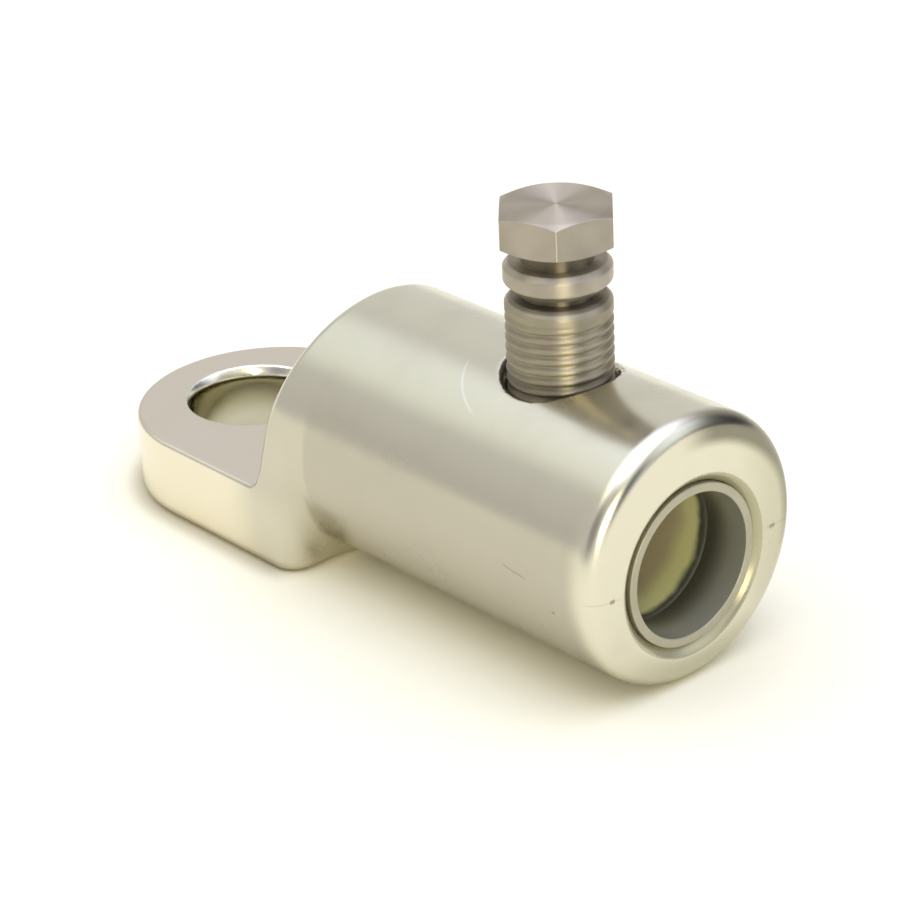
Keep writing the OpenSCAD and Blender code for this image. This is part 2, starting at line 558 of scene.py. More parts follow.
@dataclass
class Finish:
    """A material under construction.

    Attributes:
        material: The material.
        board: Its node board.
        shader: Its Principled shader.
        here: Object coordinates in millimetres.
    """

    material: bpy.types.Material
    board: NodeBoard
    shader: bpy.types.Node
    here: Socket

    @classmethod
    def metal(cls, name: str) -> "Finish":
        """Start a metal material.

        Args:
            name: Name of the material.

        Returns:
            The finish.
        """
        material = bpy.data.materials.new(name)
        material.use_nodes = True
        board = NodeBoard(material.node_tree)
        shader = material.node_tree.nodes["Principled BSDF"]
        board.feed(shader, Metallic=1.0)
        place = board.add("ShaderNodeTexCoord").outputs["Object"]
        return cls(material, board, shader, board.stretch(place, (1 / MM, 1 / MM, 1 / MM)))

    def set(self, **inputs: Feed) -> None:
        """Feed or set the shader's inputs, named with underscores for spaces."""
        self.board.feed(self.shader, **inputs)

    def clouds(self, cloud: Cloud) -> Socket:
        """Mask of soft patches."""
        levels = {"Low": cloud.low, "High": cloud.high}
        return self.board.effect(Effect.CLOUD, Vector=self.here, Scale=cloud.scale, **levels)

    def relief(self, grain: Grain) -> None:
        """Raise the surface by a grain.

        Args:
            grain: The grain.
        """
        height = self.board.effect(Effect.GRAIN, Vector=self.here, Scale=grain.scale, Streaks=grain.streaks,
                                   Stretch=grain.stretch)
        bump = self.board.add("ShaderNodeBump")
        self.board.feed(bump, Strength=grain.strength, Distance=grain.height * MM, Height=height)
        self.set(Normal=bump.outputs[0])


class Sheet(Enum):
    """Ways to lay a mark on the body.

    BARREL is unrolled round the barrel from its crown, and FACE is flat on the mouth's face.
    """

    BARREL = "barrel"
    FACE = "face"


@dataclass(frozen=True)
class Mark:
    """A scratch or pit. Sizes are in millimetres and the turn is in degrees.

    Attributes:
        sheet: The sheet that it lies on.
        at: Its middle on the sheet.
        turn: Its direction on the sheet.
        half_length: Half its length.
        half_width: Half its width.
        bow: How far its middle stands off, in half widths.
        share: Share of its colour over the plate's.
        pale: Whether it is paler than the plate.
    """

    sheet: Sheet
    at: tuple[float, float]
    turn: float
    half_length: float
    half_width: float
    bow: float
    share: float
    pale: bool = False


@dataclass(frozen=True)
class BodyPlace:
    """Sockets that tell where a point of the body's skin lies, in millimetres.

    Attributes:
        board: The node board that they are on.
        body: The body.
        here: Object coordinates.
        x: Way along the barrel.
        y: Way across the palm.
        z: Height.
        depth: Way back from the mouth.
        from_stud: Way from the stud hole's axis.
    """

    board: NodeBoard
    body: "LugBody"
    here: Socket
    x: Socket
    y: Socket
    z: Socket
    depth: Socket
    from_stud: Socket

    @classmethod
    def on(cls, body: "LugBody", finish: Finish) -> "BodyPlace":
        """Work out the place in a material.

        Args:
            body: The body.
            finish: The material under construction.

        Returns:
            The place.
        """
        board = finish.board
        x, y, z = board.apart(finish.here)
        depth = board.math("SUBTRACT", body.mouth_x, x)
        return cls(board, body, finish.here, x, y, z, depth, board.length(x, y))

    def from_axis(self, axis_z: float) -> Socket:
        """Way from an axis that runs along the barrel at a height."""
        return self.board.length(self.y, self.board.math("SUBTRACT", self.z, axis_z))


@dataclass(frozen=True)
class TinPlate:
    """Satin tin plate over the forging, milled on the palm, filmed inside the bore and lightly marked,
    with painted shade and painted highlights in its colour.

    The colours come first. Each fade belongs to the zone that its name starts with, and the method that
    makes the zone's mask says where the fade is counted from.
    """

    clean: Colour = (0.71, 0.68, 0.56)
    dull: Colour = (0.60, 0.57, 0.455)
    milled: Colour = (0.70, 0.645, 0.545)
    # low is painted shade: the barrel's lower half and the heel painted darker for the shadowed floor that
    # they reflect.
    cut: Colour = (0.79, 0.735, 0.595)
    # cut is a painted highlight: the palm's side painted lighter for the bright floor that it reflects.
    low: Colour = (0.465, 0.435, 0.36)
    # wall is painted shade on the stud hole's wall, strongest in its upper part.
    wall: Colour = (0.48, 0.45, 0.30)
    # bevel is a painted highlight on the chamfer round the stud hole.
    bevel_highlight: Colour = (0.93, 0.90, 0.79)
    # chamfer is painted shade on the chamfer at the mouth.
    chamfer: Colour = (0.42, 0.40, 0.27)
    # patina is painted shade on the +Y side and foot of the mouth's face.
    shaded_face: Colour = (0.54, 0.52, 0.40)
    # rim is painted shade on the mouth's rounded edge, from its top round its +Y side.
    shaded_rim: Colour = (0.25, 0.24, 0.18)
    # seat is a painted shadow in the bore just behind the ring.
    seat: Colour = (0.07, 0.07, 0.05)
    film: Colour = (0.74, 0.73, 0.37)
    deep: Colour = (0.52, 0.46, 0.30)
    scratch: Colour = (0.86, 0.85, 0.78)
    pit: Colour = (0.10, 0.09, 0.06)
    cloud: Cloud = Cloud(0.12, 0.42, 0.70)
    cloud_share: float = 0.45
    grain: Grain = Grain(0.25, 0.3, (0.2, 1.0, 1.0), 0.03)
    rough: float = 0.23
    cloud_rough: float = 0.05
    milled_rough: float = 0.07
    wall_rough: float = -0.1
    film_rough: float = 0.2
    milled_up: Fade = Fade(-0.12, -0.02)
    low_down: Fade = Fade(1.6, 1.15, most=0.95)
    low_ahead: Fade = Fade(0.5, 1.5)
    low_heel: Fade = Fade(-5.0, 1.0, most=0.64)
    low_heel_up: Fade = Fade(0.5, 1.2, least=0.6)
    low_back: Fade = Fade(0.5, 2.0)
    shaded_face_side: Fade = Fade(0.3, 0.9, most=0.8)
    shaded_face_foot: Fade = Fade(0.5, 0.1)
    shaded_face_near: Fade = Fade(1.0, 0.2)
    shaded_rim_crown: Fade = Fade(1.2, 1.9, most=1.3)
    shaded_rim_out: Fade = Fade(-2.3, -0.8)
    shaded_rim_near: Fade = Fade(1.0, 0.3)
    shaded_rim_side: Fade = Fade(-2.0, 3.0)
    shaded_rim_up: Fade = Fade(0.55, 1.05)
    cut_highlight_down: Fade = Fade(2.0, 0.0)
    cut_highlight_back: Fade = Fade(1.0, -6.0)
    cut_highlight_clear: float = 1.0
    wall_in: Fade = Fade(0.2, 0.1)
    wall_up: Fade = Fade(0.3, 0.62, least=0.1)
    bevel_highlight_out: Fade = Fade(0.05, 0.15)
    bevel_highlight_in: Fade = Fade(0.1, 0.0)
    bevel_highlight_down: Fade = Fade(-0.02, -0.1)
    chamfer_in: Fade = Fade(0.12, -0.02)
    chamfer_depth: float = 2.0
    chamfer_film: float = 0.6
    bore_in: Fade = Fade(0.12, 0.04)
    bore_end: float = 1.0
    film_back: Fade = Fade(5.7, 6.7)
    film_deep: Fade = Fade(7.4, 9.6)
    film_wander: float = 1.2
    film_scale: float = 0.35
    film_detail: float = 2.0
    face_reach: float = 2.0
    marks: tuple[Mark, ...] = (
        Mark(Sheet.BARREL, (-21.9, 6.3), 44.0, 4.0, 0.2, 4.7, 0.5, True),
        Mark(Sheet.BARREL, (-9.6, 20.7), 7.0, 1.8, 0.12, 0.5, 0.35),
        Mark(Sheet.BARREL, (-5.0, 23.3), 0.0, 0.25, 0.2, 0.0, 0.5),
        Mark(Sheet.FACE, (-10.3, 12.2), 0.0, 0.36, 0.3, 0.0, 0.6),
        Mark(Sheet.FACE, (9.9, 11.9), 0.0, 0.42, 0.32, 0.0, 0.5),
        Mark(Sheet.FACE, (-11.0, 12.3), -6.0, 2.2, 0.1, 0.0, 0.18),
        Mark(Sheet.FACE, (10.8, 11.9), 0.0, 2.0, 0.1, 0.0, 0.18),
    )

    def material(self, body: "LugBody") -> bpy.types.Material:
        """Make the finish: the colours are laid over each other in order, each through its mask.

        Args:
            body: The body that it goes on.

        Returns:
            The material.
        """
        finish = Finish.metal("tin_plate")
        board = finish.board
        at = BodyPlace.on(body, finish)
        cloud = finish.clouds(self.cloud)
        milled, wall = self._milled_face(at), self._stud_wall(at)
        chamfer, bore = self._mouth_chamfer(at), self._bore_wall(at)
        # Painted light in these layers: shade on the lower half, on the face, on its rounded edge, in the
        # stud hole's wall, in the mouth's chamfer and behind the ring; highlights on the palm's side and on
        # the stud hole's chamfer.
        layers = [
            (board.meet(cloud, self.cloud_share), self.dull), (self._lower_shade_mask(at), self.low),
            (self._face_shade(at), self.shaded_face), (self._rim_shade_mask(at), self.shaded_rim),
            (self._cut_highlight_mask(at), self.cut), (milled, self.milled), (wall, self.wall),
            (self._bright_bevel_mask(at), self.bevel_highlight), (chamfer, self.chamfer), (bore, self._film_colour(at))]
        for mark in self.marks:
            tint = self.scratch if mark.pale else self.pit
            layers.append((board.meet(self._stroke(at, mark), mark.share), tint))
        colour = self.clean
        for mask, tint in layers:
            colour = board.mix(mask, colour, tint)
        rough = self.rough
        for mask, change in ((cloud, self.cloud_rough), (milled, self.milled_rough),
                             (wall, self.wall_rough), (bore, self.film_rough)):
            rough = board.math("MULTIPLY_ADD", mask, change, rough)
        greased = board.math("MAXIMUM", bore, board.meet(chamfer, self.chamfer_film))
        finish.set(Base_Color=colour, Metallic=board.math("SUBTRACT", 1.0, greased), Roughness=rough)
        finish.relief(self.grain)
        return finish.material

    def _milled_face(self, at: BodyPlace) -> Socket:
        """Mask of the palm's upper face, from its height up and behind the shoulder."""
        behind = at.board.math("LESS_THAN", at.x, at.body.shoulder_x)
        return at.board.meet(at.board.fade(at.z, self.milled_up, at.body.palm_t), behind)

    def _lower_shade_mask(self, at: BodyPlace) -> Socket:
        """Mask of the painted shade on the barrel's lower half and on the heel.

        It fades out upwards in barrel radii, backwards from the heel's front in fillets, in millimetres from
        the shoulder and in palm thicknesses up the heel, and forwards in roundings of the mouth.

        Args:
            at: The place on the body.

        Returns:
            The mask.
        """
        board, body = at.board, at.body
        down = board.fade(at.z, self.low_down, unit=body.barrel_r)
        ahead = board.fade(at.x, self.low_ahead, body.heel_front, body.front_fillet)
        heel = board.meet(board.fade(at.x, self.low_heel, body.shoulder_x),
                          board.fade(at.z, self.low_heel_up, unit=body.palm_t))
        back = board.fade(at.depth, self.low_back, unit=body.mouth_round)
        return board.meet(down, board.math("MAXIMUM", ahead, heel), back)

    def _face_shade(self, at: BodyPlace) -> Socket:
        """Mask of the painted shade on the mouth's face, on its +Y side and at its foot.

        They fade in over barrel radii, and back from the face over roundings of the mouth.

        Args:
            at: The place on the body.

        Returns:
            The mask.
        """
        board, body = at.board, at.body
        side = board.fade(at.y, self.shaded_face_side, unit=body.barrel_r)
        foot = board.fade(at.z, self.shaded_face_foot, unit=body.barrel_r)
        near = board.fade(at.depth, self.shaded_face_near, unit=body.mouth_round)
        return board.meet(board.math("MAXIMUM", side, foot), near)

    def _rim_shade_mask(self, at: BodyPlace) -> Socket:
        """Mask of the painted shade on the mouth's rounded edge, from its top round its +Y side.

        It fades in towards the barrel's radius, sooner near the crown, over barrel radii upwards, over
        millimetres across, and back from the face over roundings of the mouth.

        Args:
            at: The place on the body.

        Returns:
            The mask.
        """
        board, body = at.board, at.body
        sooner = board.fade(at.z, self.shaded_rim_crown, unit=body.barrel_r)
        reach = board.math("ADD", at.from_axis(body.barrel_r), sooner)
        outer = board.fade(reach, self.shaded_rim_out, body.barrel_r)
        near = board.fade(at.depth, self.shaded_rim_near, unit=body.mouth_round)
        side = board.fade(at.y, self.shaded_rim_side)
        return board.meet(outer, near, side, board.fade(at.z, self.shaded_rim_up, unit=body.barrel_r))

    def _cut_highlight_mask(self, at: BodyPlace) -> Socket:
        """Mask of the painted highlight on the palm's side, faded above the palm and along the heel, clear of
        the stud hole.

        Args:
            at: The place on the body.

        Returns:
            The mask.
        """
        board, body = at.board, at.body
        low = board.fade(at.z, self.cut_highlight_down, body.palm_t)
        behind = board.fade(at.x, self.cut_highlight_back, body.shoulder_x)
        outside = board.math("GREATER_THAN", at.from_stud, body.hole_r + self.cut_highlight_clear)
        return board.meet(low, behind, outside)

    def _stud_wall(self, at: BodyPlace) -> Socket:
        """Mask of the painted shade on the stud hole's wall, stronger up it over palm thicknesses."""
        within = at.board.fade(at.from_stud, self.wall_in, at.body.hole_r)
        return at.board.meet(within, at.board.fade(at.z, self.wall_up, unit=at.body.palm_t))

    def _bright_bevel_mask(self, at: BodyPlace) -> Socket:
        """Mask of the painted highlight on the chamfer round the stud hole, between its two radii and below
        the palm's face.

        Args:
            at: The place on the body.

        Returns:
            The mask.
        """
        board, body = at.board, at.body
        outside = board.fade(at.from_stud, self.bevel_highlight_out, body.hole_r)
        within = board.fade(at.from_stud, self.bevel_highlight_in, body.hole_r + body.hole_chamfer)
        below = board.fade(at.z, self.bevel_highlight_down, body.palm_t)
        return board.meet(outside, within, below, board.math("GREATER_THAN", at.z, body.palm_t / 2))

    def _mouth_chamfer(self, at: BodyPlace) -> Socket:
        """Mask of the chamfer at the mouth, inside its outer radius, where painted shade goes."""
        within = at.board.fade(at.from_axis(at.body.bore_z), self.chamfer_in, at.body.chamfer_r)
        return at.board.meet(within, at.board.math("LESS_THAN", at.depth, self.chamfer_depth))

    def _bore_wall(self, at: BodyPlace) -> Socket:
        """Mask of the bore, inside the radius of the ring's seat and between the heel and the chamfer.

        Args:
            at: The place on the body.

        Returns:
            The mask.
        """
        board, body = at.board, at.body
        within = board.fade(at.from_axis(body.bore_z), self.bore_in, body.seat_r)
        ahead = board.math("GREATER_THAN", at.x, body.heel_front - self.bore_end)
        return board.meet(within, ahead, board.math("GREATER_THAN", at.depth, self.chamfer_depth))

    def _film_colour(self, at: BodyPlace) -> Socket:
        """Colour in the bore: a painted shadow at the seat behind the ring, then the grease film, olive then
        brown, with edges that wander.

        Args:
            at: The place on the body.

        Returns:
            The colour.
        """
        board = at.board
        wander = board.noise(at.here, self.film_scale, self.film_detail)
        middle = board.math("SUBTRACT", at.depth, self.film_wander / 2)
        depth = board.math("MULTIPLY_ADD", wander, self.film_wander, middle)
        film = board.mix(board.fade(depth, self.film_back), self.seat, self.film)
        return board.mix(board.fade(depth, self.film_deep), film, self.deep)

    def _sheet(self, at: BodyPlace, sheet: Sheet) -> Socket:
        """Place on a sheet.

        On the barrel it is the way from the mouth, the arc from the crown towards -Y and the way off the
        skin. On the face it is y, z and the way from the face over the reach of its marks.

        Args:
            at: The place on the body.
            sheet: The sheet.

        Returns:
            The place on it.
        """
        board, radius = at.board, at.body.barrel_r
        ahead = board.math("SUBTRACT", at.x, at.body.mouth_x)
        if sheet is Sheet.FACE:
            return board.together(at.y, at.z, board.math("DIVIDE", ahead, self.face_reach))
        up = board.math("SUBTRACT", at.z, radius)
        turn = board.math("ARCTAN2", board.math("MULTIPLY", at.y, -1.0), up)
        off = board.math("SUBTRACT", board.length(at.y, up), radius)
        return board.together(ahead, board.math("MULTIPLY", turn, radius), off)

    def _stroke(self, at: BodyPlace, mark: Mark) -> Socket:
        """Mask of one mark.

        Args:
            at: The place on the body.
            mark: The mark.

        Returns:
            The mask.
        """
        placed = at.board.add("ShaderNodeMapping", vector_type="TEXTURE")
        at.board.feed(placed, Vector=self._sheet(at, mark.sheet), Location=(*mark.at, 0.0),
                      Rotation=(0.0, 0.0, np.radians(mark.turn)),
                      Scale=(mark.half_length, mark.half_width, 1.0))
        return at.board.effect(Effect.STROKE, Vector=placed.outputs[0], Bow=mark.bow)


class Axis(Enum):
    """Axis that a piece was turned about, as the stretch of the tool's marks."""

    X = (1.0, 0.02, 0.02)
    Z = (0.02, 0.02, 1.0)


@dataclass(frozen=True)
class Band:
    """Stretch of heights in millimetres, with ends that fade over a soft width to each side."""

    low: float
    high: float
    soft: float
    end: Fade = Fade(-1.0, 1.0)

    def mask(self, board: NodeBoard, height: Socket) -> Socket:
        """Mask of the stretch."""
        rise = board.fade(height, self.end, self.low, self.soft)
        return board.meet(rise, board.fade(height, self.end, self.high, -self.soft))


@dataclass(frozen=True)
class TurnedMetal:
    """Turned bright metal with fine rings round its axis.

    Attributes:
        name: Name of the material.
        axis: Axis of the rings.
        bright: Colour of the clean metal.
        dull: Colour of the soft patches, and of all that lies low.
        rough: Roughness of the clean metal.
        rings: Strength of the rings.
        spun: How far reflections stretch along the rings.
        spun_turn: Turn of that stretch, as a share of a full turn.
        dull_below: Height that the dull stretch lies below.
        dull_down: Fade into that stretch.
        band_shade: Colour of the painted shade on the bands.
        shaded_bands: Bands of painted shade.
        cloud: The soft patches.
        cloud_share: Share of the dull colour in the patches.
        cloud_rough: Added roughness of the patches.
        ring_scale: Scale of the rings, per millimetre.
        ring_height: Height of the rings over that of the grain between them.
    """

    name: str
    axis: Axis
    bright: Colour
    dull: Colour
    rough: float
    rings: float
    spun: float = 0.0
    spun_turn: float = 0.25
    dull_below: float = 0.0
    dull_down: Fade = Fade(0.2, -0.8)
    # stain is painted shade, laid on the bands in stained.
    band_shade: Colour = (0.23, 0.20, 0.145)
    shaded_bands: tuple[Band, ...] = ()
    cloud: Cloud = Cloud(0.25, 0.38, 0.72)
    cloud_share: float = 0.4
    cloud_rough: float = 0.06
    ring_scale: float = 5.0
    ring_height: float = 3.0

    def material(self) -> bpy.types.Material:
        """Make the finish.

        Returns:
            The material.
        """
        finish = Finish.metal(self.name)
        board = finish.board
        cloud = finish.clouds(self.cloud)
        height = board.apart(finish.here)[2]
        below = board.fade(height, self.dull_down, self.dull_below)
        dull = board.math("MAXIMUM", board.meet(cloud, self.cloud_share), below)
        colour = board.mix(dull, self.bright, self.dull)
        for band in self.shaded_bands:
            colour = board.mix(band.mask(board, height), colour, self.band_shade)
        rough = board.math("MULTIPLY_ADD", cloud, self.cloud_rough, self.rough)
        finish.set(Base_Color=colour, Roughness=rough, Anisotropic=self.spun,
                   Anisotropic_Rotation=self.spun_turn)
        finish.relief(Grain(self.ring_scale, self.ring_height, self.axis.value, self.rings))
        return finish.material


@dataclass(frozen=True)
class RingWall:
    """Greasy inside of the ring, with painted shade: dark at its inner end and paler along its length."""

    # dark and pale are the ends of the painted shade along the ring's inside.
    dark: Colour = (0.10, 0.10, 0.07)
    pale: Colour = (0.31, 0.305, 0.25)
    paler: Fade = Fade(0.1, 0.7)
    metallic: float = 0.4
    rough: float = 0.35

    def material(self, back_x: float, front_x: float) -> bpy.types.Material:
        """Make the finish.

        Args:
            back_x: Inner end of the ring.
            front_x: Front of the ring.

        Returns:
            The material.
        """
        finish = Finish.metal("ring_wall")
        along = finish.board.apart(finish.here)[0]
        share = finish.board.fade(along, self.paler, back_x, front_x - back_x)
        colour = finish.board.mix(share, self.dark, self.pale)
        finish.set(Base_Color=colour, Metallic=self.metallic, Roughness=self.rough)
        return finish.material


@dataclass
class LugBody:
    """Forged body: barrel, heel and palm in one piece, with its bore and holes. Sizes are in millimetres.

    The sizes with no default are read from the frame.
    """

    palm_end: float
    palm_half: float
    mouth_x: float
    barrel_r: float
    palm_t: float
    hole_r: float
    bore_r: float
    bore_z: float
    bolt_x: float
    seat_r: float
    seat_x: float
    barrel_len: float = 46.0
    shoulder_lean: float = np.radians(12.5)
    shoulder_fillet: float = 0.8
    shoulder_round: float = 0.9
    shoulder_ease: tuple[float, float] = (0.4, 2.4)
    crown_round: float = 0.3
    crown_from: float = 0.6
    mouth_round: float = 1.8
    mouth_chamfer: float = 0.9
    bore_depth: float = 36.0
    bore_point: float = np.radians(59.0)
    palm_edge: float = 1.2
    palm_rim: float = 0.45
    hole_chamfer: float = 0.5
    hole_chamfer_h: float = 0.9
    heel_len: float = 5.0
    heel_draw: float = 0.8
    heel_top: float = 1.5
    heel_round: float = 2.8
    side_fillet: float = 0.5
    front_fillet: float = 2.0
    bolt_hole_r: float = 4.95
    bolt_gap_r: float = 5.35
    bolt_gap_depth: float = 1.3
    hole_edge: float = 0.3
    bolt_edge: float = 0.45
    stud_edge: float = 0.15
    fine: float = 0.3
    coarse: float = 0.75
    heel_margin: float = 1.0
    bolt_margin: float = 1.5
    mouth_margin: float = 3.0

    @classmethod
    def from_frame(cls) -> "LugBody":
        """Read the body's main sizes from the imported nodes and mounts.

        Returns:
            The body.
        """
        low, high = node_box("lug_body")
        ring_low, ring_high = node_box("centring_ring")
        bolt_low, bolt_high = node_box("shear_bolt")
        bore = mount("conductor_bore")
        seat_gap = 0.02
        return cls(
            palm_end=low[0], palm_half=high[1], mouth_x=high[0], barrel_r=high[2] / 2,
            palm_t=mount("palm_face")["pos_m"][2] / MM, hole_r=mount("palm_hole")["dims"]["r_mm"],
            bore_r=bore["dims"]["r_mm"], bore_z=bore["pos_m"][2] / MM,
            bolt_x=(bolt_low[0] + bolt_high[0]) / 2,
            seat_r=ring_high[1] + seat_gap, seat_x=ring_low[0])

    @property
    def shoulder_x(self) -> float:
        """Foot of the shoulder on the palm."""
        return self.mouth_x - self.barrel_len

    @property
    def heel_front(self) -> float:
        """Front face of the heel."""
        return self.shoulder_x + self.heel_len

    @property
    def chamfer_r(self) -> float:
        """Outer radius of the chamfer at the mouth."""
        return self.seat_r + self.mouth_chamfer

    def distance(self, x: Array, y: Array, z: Array) -> Array:
        """Distance from the body's skin, negative inside.

        The barrel is a rounded cylinder and the palm a rounded plan carried upwards. Both are joined by a
        fillet, cut along the palm's face and the leaning shoulder, and opened by the bore and the two
        holes.

        Args:
            x: Places along the barrel.
            y: Places across the palm.
            z: Heights.

        Returns:
            The distance, in the shape that x, y and z have together.
        """
        widen = self.front_fillet - self.side_fillet
        fillet = self.side_fillet + widen * smooth_step(self.heel_front - self.heel_round, self.heel_front, x)
        blank = round_min(self._barrel(x, y, z), self._palm(x, y, z), fillet)
        blank = np.maximum(blank, np.abs(y) - self.palm_half)
        lean, rise = self.shoulder_lean, z - self.palm_t
        shoulder = (self.shoulder_x - x) * np.cos(lean) + rise * np.sin(lean)
        kept = round_min(rise, shoulder, self.shoulder_fillet)
        crown = 2 * self.barrel_r
        edge = (self.palm_rim + (self.shoulder_round - self.palm_rim) * smooth_step(*self.shoulder_ease, rise)
                + self.crown_round * smooth_step(self.crown_from * crown, crown, z))
        body = round_max(blank, kept, edge)
        body = round_max(body, -self._bore(x, y, z), self.hole_edge)
        body = round_max(body, -self._bolt_hole(x, y, z), self.bolt_edge)
        body = round_max(body, -self._palm_hole(x, y, z), self.stud_edge)
        return np.maximum(body, -z)

    def _barrel(self, x: Array, y: Array, z: Array) -> Array:
        """Cylinder round the barrel's axis, its mouth edge rounded, with its other end inside the palm."""
        radial = np.hypot(y, z - self.barrel_r) - self.barrel_r
        return np.maximum(round_max(radial, x - self.mouth_x, self.mouth_round), self.shoulder_x - x)

    def _palm(self, x: Array, y: Array, z: Array) -> Array:
        """Distance from the palm and heel.

        A plan with a round end and rounded front corners is carried up into the barrel, and draws inwards
        with the square of the height above the palm.

        Args:
            x: Places along the barrel.
            y: Places across the palm.
            z: Heights.

        Returns:
            The distance, negative inside.
        """
        arc_x = self.palm_end + self.palm_half
        behind = np.hypot(x - arc_x, y) - self.palm_half
        ahead = round_max(np.abs(y) - self.palm_half, x - self.heel_front, self.heel_round)
        draw = self.heel_draw * (np.maximum(z - self.palm_t, 0.0) / (self.barrel_r - self.palm_t)) ** 2
        plan = np.where(x < arc_x, behind, ahead) + draw
        return np.maximum(round_max(plan, -z, self.palm_edge), z - self.heel_top * self.barrel_r)

    def _bore(self, x: Array, y: Array, z: Array) -> Array:
        """Distance from the drilled bore with its pointed bottom, the ring's seat and the mouth's chamfer.

        Args:
            x: Places along the barrel.
            y: Places across the palm.
            z: Heights.

        Returns:
            The distance, negative inside.
        """
        radius = np.hypot(y, z - self.bore_z)
        tip = self.mouth_x - self.bore_depth - self.bore_r / np.tan(self.bore_point)
        point = radius * np.cos(self.bore_point) - (x - tip) * np.sin(self.bore_point)
        bore = np.maximum(radius - self.bore_r, point)
        seat = np.maximum(radius - self.seat_r, self.seat_x - x)
        chamfer = (radius - self.seat_r - (x - self.mouth_x + self.mouth_chamfer)) / np.sqrt(2.0)
        return np.minimum(round_min(bore, seat, self.hole_edge), chamfer)

    def _bolt_hole(self, x: Array, y: Array, z: Array) -> Array:
        """Distance from the upright hole into the bore, opened at the crown to a gap round the bolt.

        Args:
            x: Places along the barrel.
            y: Places across the palm.
            z: Heights.

        Returns:
            The distance, negative inside.
        """
        radius = np.hypot(x - self.bolt_x, y)
        hole = np.maximum(radius - self.bolt_hole_r, self.bore_z - z)
        floor = 2 * self.barrel_r - self.bolt_gap_depth - (self.bolt_gap_r - self.bolt_hole_r)
        cone = (radius - self.bolt_hole_r - (z - floor)) / np.sqrt(2.0)
        return round_min(hole, np.maximum(radius - self.bolt_gap_r, cone), self.hole_edge)

    def _palm_hole(self, x: Array, y: Array, z: Array) -> Array:
        """Distance from the stud hole with its chamfer at the palm's face.

        Args:
            x: Places along the barrel.
            y: Places across the palm.
            z: Heights.

        Returns:
            The distance, negative inside.
        """
        radius = np.hypot(x, y)
        steep = self.hole_chamfer / self.hole_chamfer_h
        cone = (radius - self.hole_r - (z - self.palm_t + self.hole_chamfer_h) * steep) / np.hypot(1.0, steep)
        reach = radius - self.hole_r - self.hole_chamfer - self.hole_edge
        return round_min(radius - self.hole_r, np.maximum(cone, reach), self.hole_edge)

    def planes(self) -> tuple[Array, Array, Array]:
        """Grid planes: fine over the palm, the bolt hole and the mouth, coarse along the plain barrel.

        Returns:
            Places of the planes along X, Y and Z.
        """
        margin = 2 * self.fine
        gap = self.bolt_gap_r + self.bolt_margin
        heel_end = self.heel_front + self.front_fillet + self.heel_margin
        mouth_start = self.mouth_x - self.mouth_margin * self.mouth_round
        stops = [(self.palm_end - margin, self.fine), (heel_end, self.coarse),
                 (self.bolt_x - gap, self.fine), (self.bolt_x + gap, self.coarse),
                 (mouth_start, self.fine), (self.mouth_x + margin, self.fine)]
        runs = [np.linspace(a, b, int(np.ceil((b - a) / step)), endpoint=False)
                for (a, step), (b, _) in zip(stops[:-1], stops[1:])]
        along = np.concatenate(runs + [[stops[-1][0]]])
        across = np.arange(-self.palm_half - margin, self.palm_half + margin, self.fine)
        up = np.arange(-margin, 2 * self.barrel_r + margin, self.fine)
        return along, across, up

    def build(self) -> bpy.types.Object:
        """Make the body's mesh and let it stand for its node.

        Returns:
            The piece.
        """
        points, quads, normals = SurfaceNet(self.planes()).skin(self.distance)
        piece = new_mesh("lug_body_skin", points, [quads], normals)
        return stand_for(piece, "lug_body", "lug")

    def dress(self, piece: bpy.types.Object) -> None:
        """Give the body its tin plate."""
        piece.data.materials.append(TinPlate().material(self))


@dataclass
class CentringRing:
    """Thin ring in the mouth of the bore. Sizes are in millimetres."""

    back_x: float
    front_x: float
    outer_r: float
    inner_r: float
    axis_z: float
    edge: float = 0.15
    edge_steps: int = 6
    wall_play: float = 0.01
    columns: int = 192

    @classmethod
    def from_frame(cls) -> "CentringRing":
        """Read the ring's sizes from its node and from the bore.

        Returns:
            The ring.
        """
        low, high = node_box("centring_ring")
        bore = mount("conductor_bore")
        return cls(back_x=low[0], front_x=high[0], outer_r=high[1], inner_r=bore["dims"]["r_mm"],
                   axis_z=bore["pos_m"][2] / MM)

    def build(self) -> bpy.types.Object:
        """Carry the ring's section round the bore's axis and let the mesh stand for its node.

        A point at angle t on the section at radius r lies at y = r cos t and z = axis + r sin t.

        Returns:
            The piece.
        """
        middle = (self.back_x + self.front_x) / 2
        section = rounded_profile([
            (self.inner_r, middle, 0.0), (self.inner_r, self.back_x, self.edge),
            (self.outer_r, self.back_x, self.edge), (self.outer_r, self.front_x, self.edge),
            (self.inner_r, self.front_x, self.edge), (self.inner_r, middle, 0.0)], self.edge_steps)
        turn = np.linspace(0.0, 2 * np.pi, self.columns, endpoint=False)
        radius, along = section[:, :1], section[:, 1:]
        parts = np.broadcast_arrays(along, radius * np.cos(turn), self.axis_z + radius * np.sin(turn))
        points = np.stack(parts, axis=-1).reshape(-1, 3)
        piece = new_mesh("centring_ring_turned", points, [ring_faces(len(section), self.columns)])
        wall = np.maximum(section[:-1, 0], section[1:, 0]) < self.inner_r + self.wall_play
        piece.data.polygons.foreach_set("material_index", np.repeat(wall, self.columns).astype(np.int32))
        return stand_for(piece, "centring_ring", "lug")

    def dress(self, piece: bpy.types.Object) -> None:
        """Give the ring its dull turned metal and its greasy inside with painted shade.

        Args:
            piece: The ring's mesh object.
        """
        metal = TurnedMetal(name="ring_metal", axis=Axis.X, bright=(0.45, 0.425, 0.335),
                            dull=(0.39, 0.37, 0.285), rough=0.42, rings=0.05)
        piece.data.materials.append(metal.material())
        piece.data.materials.append(RingWall().material(self.back_x, self.front_x))


